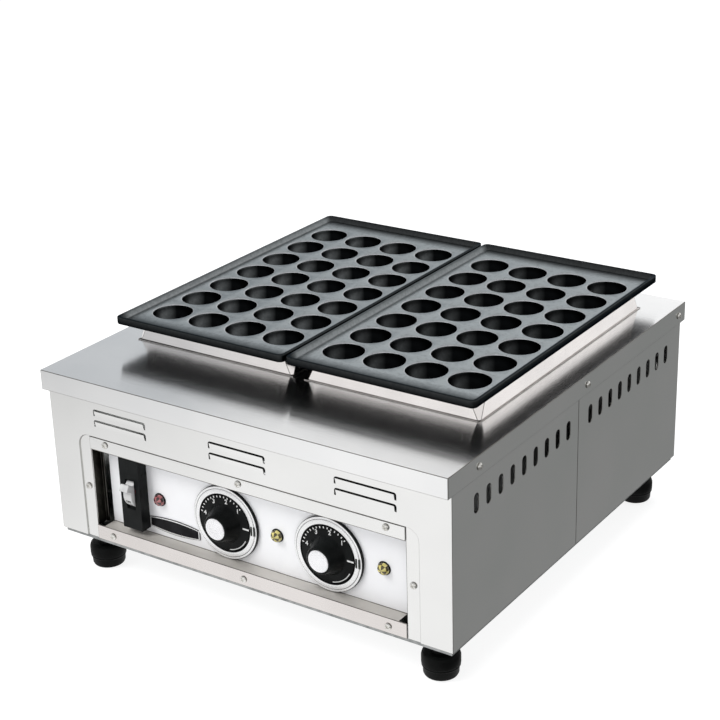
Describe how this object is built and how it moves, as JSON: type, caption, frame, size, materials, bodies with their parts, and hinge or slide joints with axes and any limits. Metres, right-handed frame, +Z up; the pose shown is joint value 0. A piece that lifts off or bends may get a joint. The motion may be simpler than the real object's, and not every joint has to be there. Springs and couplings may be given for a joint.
{
  "type": "electric takoyaki maker",
  "caption": "Countertop electric takoyaki maker: steel casing on rubber feet, cast pans of round cups over heaters, dials, switch and lamps on a recessed panel.",
  "frame": {"origin": "on the worktop, under the middle of the casing", "axes": "+X to the right seen from the controls, +Y to the back, +Z up"},
  "size_m": [0.457, 0.468, 0.2465],
  "materials": {
    "stainless": "brushed stainless steel sheet",
    "bright_steel": "plated steel screws and nuts",
    "galvanised": "zinc-coated sheet",
    "heater_sheath": "oxidised heater sheath",
    "cast_pan": "seasoned cast iron",
    "foot_rubber": "black rubber",
    "black_plastic": "black heat-proof moulding",
    "white_plastic": "white switch lever",
    "bezel_plate": "satin aluminium",
    "cap_metal": "spun aluminium cap",
    "red_glass": "red lens",
    "amber_glass": "amber lens",
    "wool": "ceramic fibre blanket",
    "porcelain": "unglazed porcelain",
    "brass_part": "plain brass",
    "lead_cover": "silicone-covered lead"
  },
  "bodies": {
    "casing": {"amber_lenses": "amber_glass", "back_screws": "bright_steel", "base_tray": "galvanised", "bush_nuts": "bright_steel", "cable_gland": "black_plastic", "control_panel": "stainless", "cover_screws": "bright_steel", "dial_bezel_left": "bezel_plate", "dial_bezel_right": "bezel_plate", "earth_terminal": "bright_steel", "element_bushes": "porcelain", "element_supports_left": "galvanised", "element_supports_right": "galvanised", "foot_bolts": "bright_steel", "foot_front_left": "foot_rubber", "foot_front_right": "foot_rubber", "foot_nuts": "bright_steel", "foot_rear_left": "foot_rubber", "foot_rear_right": "foot_rubber", "front_shell": "stainless", "gland_nut": "black_plastic", "heater_box_left": "stainless", "heater_box_right": "stainless", "heater_element_left": "heater_sheath", "heater_element_right": "heater_sheath", "heater_leads_left": "lead_cover", "heater_leads_right": "lead_cover", "heater_shroud": "galvanised", "insulation": "wool", "lamp_clips": "bright_steel", "lamp_holders": "black_plastic", "name_plate": "black_plastic", "panel_bracket_left": "stainless", "panel_bracket_right": "stainless", "panel_screws": "bright_steel", "rear_shell": "stainless", "red_lens": "red_glass", "reflector_left": "bezel_plate", "reflector_right": "bezel_plate", "supply_leads": "lead_cover", "switch_body": "black_plastic", "switch_leads": "lead_cover", "temperature_sensor_left": "brass_part", "temperature_sensor_right": "brass_part", "terminal_block": "porcelain", "terminal_screws": "bright_steel", "thermostat_left": "black_plastic", "thermostat_right": "black_plastic", "top_cover": "stainless"},
    "dial_left_body": {"dial_left": "black_plastic", "dial_cap_left": "cap_metal", "thermostat_spindle_left": "brass_part"},
    "dial_right_body": {"dial_right": "black_plastic", "dial_cap_right": "cap_metal", "thermostat_spindle_right": "brass_part"},
    "lever_body": {"switch_lever": "white_plastic"},
    "pan_left_body": {"pan_left": "cast_pan"},
    "pan_right_body": {"pan_right": "cast_pan"}
  },
  "joints": [
    {"name": "dial_left_turn", "type": "hinge", "parent": "casing", "child": "dial_left_body", "pos_m": [-0.0275, -0.211, 0.097], "axis": [0, 1, 0], "range_deg": [0, 290]},
    {"name": "dial_right_turn", "type": "hinge", "parent": "casing", "child": "dial_right_body", "pos_m": [0.0885, -0.211, 0.097], "axis": [0, 1, 0], "range_deg": [0, 290]},
    {"name": "switch_throw", "type": "hinge", "parent": "casing", "child": "lever_body", "pos_m": [-0.1347, -0.212, 0.102], "axis": [1, 0, 0], "range_deg": [0, 56]},
    {"name": "pan_left_lift", "type": "slide", "parent": "casing", "child": "pan_left_body", "axis": [0, 0, 1], "range_m": [0, 0.08]},
    {"name": "pan_right_lift", "type": "slide", "parent": "casing", "child": "pan_right_body", "axis": [0, 0, 1], "range_m": [0, 0.08]}
  ]
}
